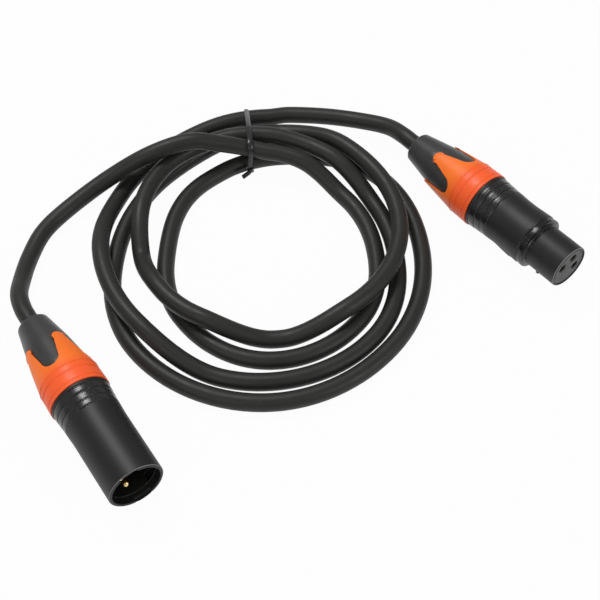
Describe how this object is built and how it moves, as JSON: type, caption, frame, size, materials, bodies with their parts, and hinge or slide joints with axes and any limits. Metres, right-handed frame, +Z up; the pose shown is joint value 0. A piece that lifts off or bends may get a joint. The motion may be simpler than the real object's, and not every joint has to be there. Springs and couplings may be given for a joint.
{
  "type": "xlr cable coil",
  "caption": "Coiled microphone cable, tied with a wire tie, with a male and a female three-contact latching connector.",
  "frame": {"origin": "on the floor plane, below the middle of the two connectors and the tie measured without the free cable", "axes": "+Z up off the floor, +X from the male connector towards the female connector, +Y towards the tie"},
  "size_m": [0.1969, 0.1715, 0.0212],
  "materials": {
    "shell": "semi-gloss black",
    "insert": "matte dark grey",
    "contact": "gold plated",
    "chuck": "white acetal",
    "bushing": "satin orange",
    "boot": "matte black",
    "jacket": "matte charcoal",
    "conductor": "insulated core",
    "latch": "black",
    "steel": "bright",
    "tie": "black coating"
  },
  "bodies": {
    "cable": {"male_shell": "shell", "male_insert": "insert", "male_pin_1": "contact", "male_pin_2": "contact", "male_pin_3": "contact", "male_chuck": "chuck", "male_jacket_end": "jacket", "male_conductor_1": "conductor", "male_conductor_2": "conductor", "male_conductor_3": "conductor", "female_shell": "shell", "female_insert": "insert", "female_socket_1": "contact", "female_socket_2": "contact", "female_socket_3": "contact", "female_latch_pin": "steel", "female_chuck": "chuck", "female_jacket_end": "jacket", "female_conductor_1": "conductor", "female_conductor_2": "conductor", "female_conductor_3": "conductor", "male_tail": "jacket", "cable_coil": "jacket", "female_tail": "jacket", "twist_tie": "tie"},
    "latch": {"female_latch": "latch", "female_latch_spring": "steel"},
    "male_gland": {"male_bushing": "bushing", "male_boot": "boot"},
    "female_gland": {"female_bushing": "bushing", "female_boot": "boot"}
  },
  "joints": [
    {"name": "latch_press", "type": "hinge", "parent": "cable", "child": "latch", "pos_m": [0.06763, 0.02483, 0.0049], "axis": [-0.6725, -0.5846, 0.454], "range_deg": [0, 4], "stiffness_Nm_per_rad": 0.02, "springref_deg": -20.05},
    {"name": "male_bushing_turn", "type": "hinge", "parent": "cable", "child": "male_gland", "pos_m": [-0.0726, -0.0494, 0.0106], "axis": [-0.5402, 0.8415, 0], "range_deg": [0, 1440]},
    {"name": "female_bushing_turn", "type": "hinge", "parent": "cable", "child": "female_gland", "pos_m": [0.06332, 0.03421, 0.0106], "axis": [-0.6561, 0.7547, 0], "range_deg": [0, 1440]}
  ]
}
